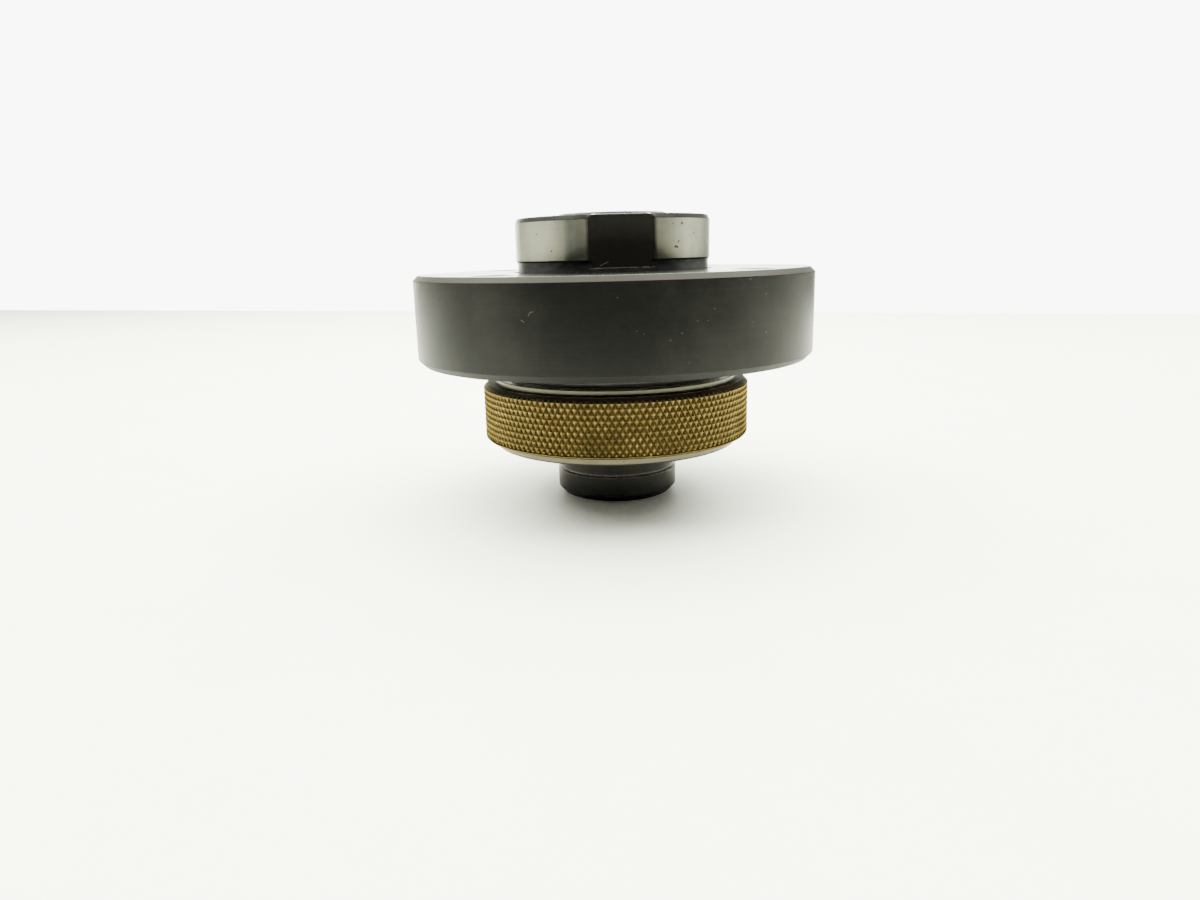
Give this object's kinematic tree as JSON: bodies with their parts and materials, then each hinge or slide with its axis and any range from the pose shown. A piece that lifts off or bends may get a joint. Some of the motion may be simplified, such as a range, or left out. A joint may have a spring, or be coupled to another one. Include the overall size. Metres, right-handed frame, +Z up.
{
  "type": "tool holder adapter",
  "caption": "Flange-mounted quick-change tool holder adapter with a pilot, a sprung locking sleeve with knurled brass grip ring, locking balls and a nose with a tool socket.",
  "frame": {"origin": "on the axis in the plane of the nose's end face, on which the adapter stands", "axes": "+Z up the axis from the nose to the pilot; the flat on the pilot faces -Y"},
  "size_m": [0.1, 0.1, 0.0709],
  "materials": {
    "black_oxide": "black oxide, satin",
    "ground_steel": "ground",
    "bright_steel": "turned, satin",
    "aged_brass": "knurled, aged",
    "ball_steel": "polished bearing steel",
    "spring_steel": "oil tempered",
    "seal_rubber": "nitrile"
  },
  "bodies": {
    "adapter": {"flange_body": "black_oxide", "socket_barrel": "black_oxide", "joint_dowel": "ground_steel", "drive_pin": "ground_steel", "stop_washer": "spring_steel", "sleeve_circlip": "spring_steel", "rear_plug": "black_oxide", "plug_o_ring": "seal_rubber", "socket_o_ring": "seal_rubber", "sleeve_spring": "spring_steel", "ejector_spring": "spring_steel"},
    "thrust_carriage": {"spring_washer": "spring_steel"},
    "sleeve": {"locking_sleeve": "bright_steel", "grip_ring": "aged_brass", "sleeve_o_ring": "seal_rubber"},
    "ejector": {"ejector_plunger": "ground_steel"},
    "ball_1": {"lock_ball_1": "ball_steel"},
    "ball_2": {"lock_ball_2": "ball_steel"},
    "ball_3": {"lock_ball_3": "ball_steel"},
    "ball_4": {"lock_ball_4": "ball_steel"}
  },
  "joints": [
    {"name": "sleeve_slide", "type": "slide", "parent": "adapter", "child": "thrust_carriage", "axis": [0, 0, 1], "range_m": [0, 0.004], "stiffness_N_per_m": 1500, "springref_m": -0.008, "deforming": ["sleeve_spring"]},
    {"name": "sleeve_spin", "type": "hinge", "parent": "thrust_carriage", "child": "sleeve", "pos_m": [0, 0, 0.032], "axis": [0, 0, 1], "continuous": true},
    {"name": "ejector_slide", "type": "slide", "parent": "adapter", "child": "ejector", "axis": [0, 0, 1], "range_m": [0, 0.008], "stiffness_N_per_m": 500, "springref_m": -0.006, "deforming": ["ejector_spring"]},
    {"name": "ball_1_slide", "type": "slide", "parent": "adapter", "child": "ball_1", "axis": [1, 0, 0], "range_m": [0, 0.0018]},
    {"name": "ball_2_slide", "type": "slide", "parent": "adapter", "child": "ball_2", "axis": [0, 1, 0], "range_m": [0, 0.0018]},
    {"name": "ball_3_slide", "type": "slide", "parent": "adapter", "child": "ball_3", "axis": [-1, 0, 0], "range_m": [0, 0.0018]},
    {"name": "ball_4_slide", "type": "slide", "parent": "adapter", "child": "ball_4", "axis": [0, -1, 0], "range_m": [0, 0.0018]}
  ],
  "couplings": [
    {"joint": "ball_1_slide", "follows": "sleeve_slide", "ratio": 0.45},
    {"joint": "ball_2_slide", "follows": "sleeve_slide", "ratio": 0.45},
    {"joint": "ball_3_slide", "follows": "sleeve_slide", "ratio": 0.45},
    {"joint": "ball_4_slide", "follows": "sleeve_slide", "ratio": 0.45}
  ]
}
